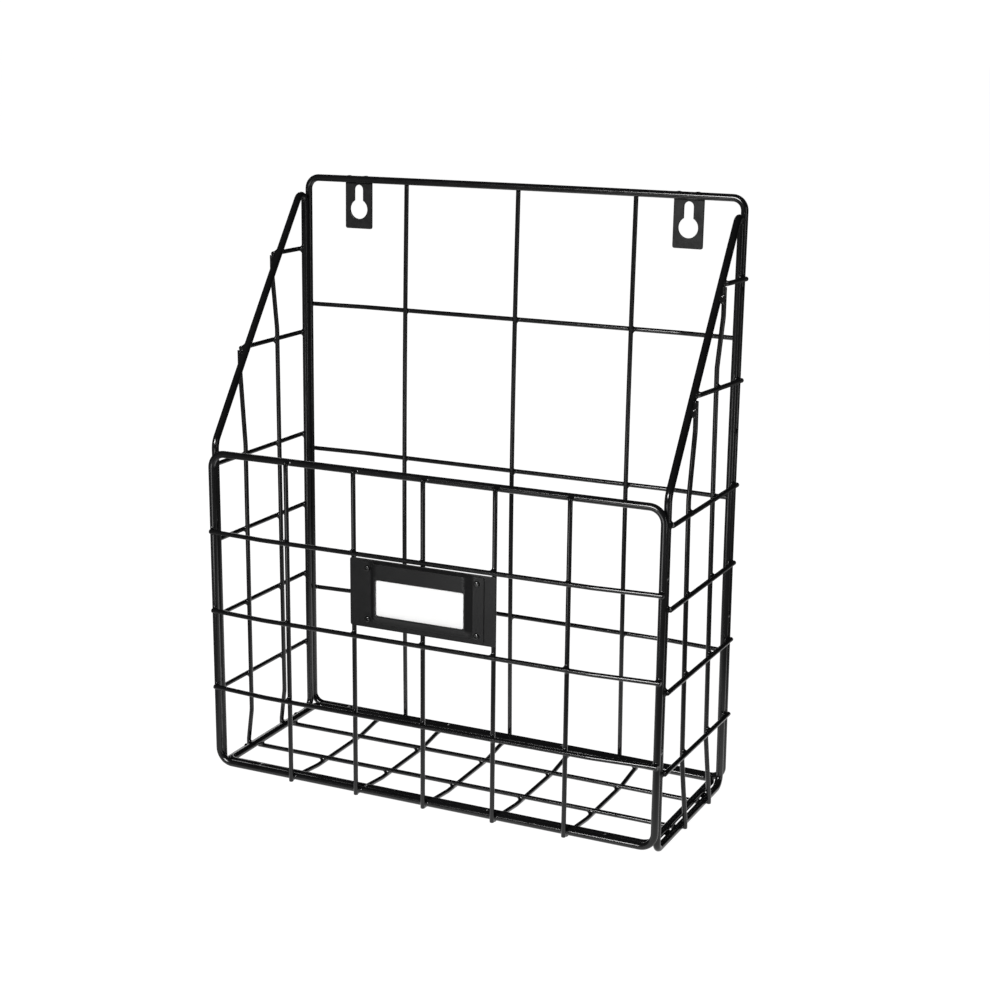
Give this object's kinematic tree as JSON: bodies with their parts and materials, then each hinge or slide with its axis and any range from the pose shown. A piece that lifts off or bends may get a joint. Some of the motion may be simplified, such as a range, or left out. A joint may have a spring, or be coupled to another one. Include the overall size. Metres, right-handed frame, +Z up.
{
  "type": "hanging file rack",
  "caption": "Black wire rack for files that hangs on a wall: high grid back with keyhole tabs, slanted sides, low front with a label holder and slide-out card.",
  "frame": {"origin": "middle of the footprint, on the surface the bottom wires touch: centre of the bounding box in X and Y, lowest point in Z", "axes": "+X to the right seen from the front, +Y from the front panel towards the wall, +Z up; the label holder faces -Y"},
  "size_m": [0.3316, 0.1504, 0.404],
  "materials": {
    "wire": "black powder coat on round steel wire, satin with a fine orange peel",
    "sheet": "black powder coat on sheet steel, satin",
    "screws": "small black pan head screws, satin",
    "card": "plain white card, matte"
  },
  "bodies": {
    "rack": {"back_frame": "wire", "back_upright_1": "wire", "back_upright_2": "wire", "back_upright_3": "wire", "back_cross_1": "wire", "back_cross_2": "wire", "back_cross_3": "wire", "hanging_tab_left": "sheet", "hanging_tab_right": "sheet", "left_frame": "wire", "left_cross_1": "wire", "left_cross_2": "wire", "left_cross_3": "wire", "left_cross_4": "wire", "left_cross_5": "wire", "left_cross_6": "wire", "left_upright_1": "wire", "left_upright_2": "wire", "right_frame": "wire", "right_cross_1": "wire", "right_cross_2": "wire", "right_cross_3": "wire", "right_cross_4": "wire", "right_cross_5": "wire", "right_cross_6": "wire", "right_upright_1": "wire", "right_upright_2": "wire", "front_frame": "wire", "front_upright_1": "wire", "front_upright_2": "wire", "front_upright_3": "wire", "front_upright_4": "wire", "front_upright_5": "wire", "front_cross_1": "wire", "front_cross_2": "wire", "front_cross_3": "wire", "bottom_frame": "wire", "bottom_cross_1": "wire", "bottom_cross_2": "wire", "bottom_runner_1": "wire", "bottom_runner_2": "wire", "bottom_runner_3": "wire", "bottom_runner_4": "wire", "bottom_runner_5": "wire", "label_plate": "sheet", "label_bezel": "sheet", "label_screw_1": "screws", "label_screw_2": "screws", "label_screw_3": "screws", "label_screw_4": "screws"},
    "card": {"label_card": "card"}
  },
  "joints": [
    {"name": "card_slide", "type": "slide", "parent": "rack", "child": "card", "axis": [0, 0, 1], "range_m": [0, 0.038]}
  ]
}
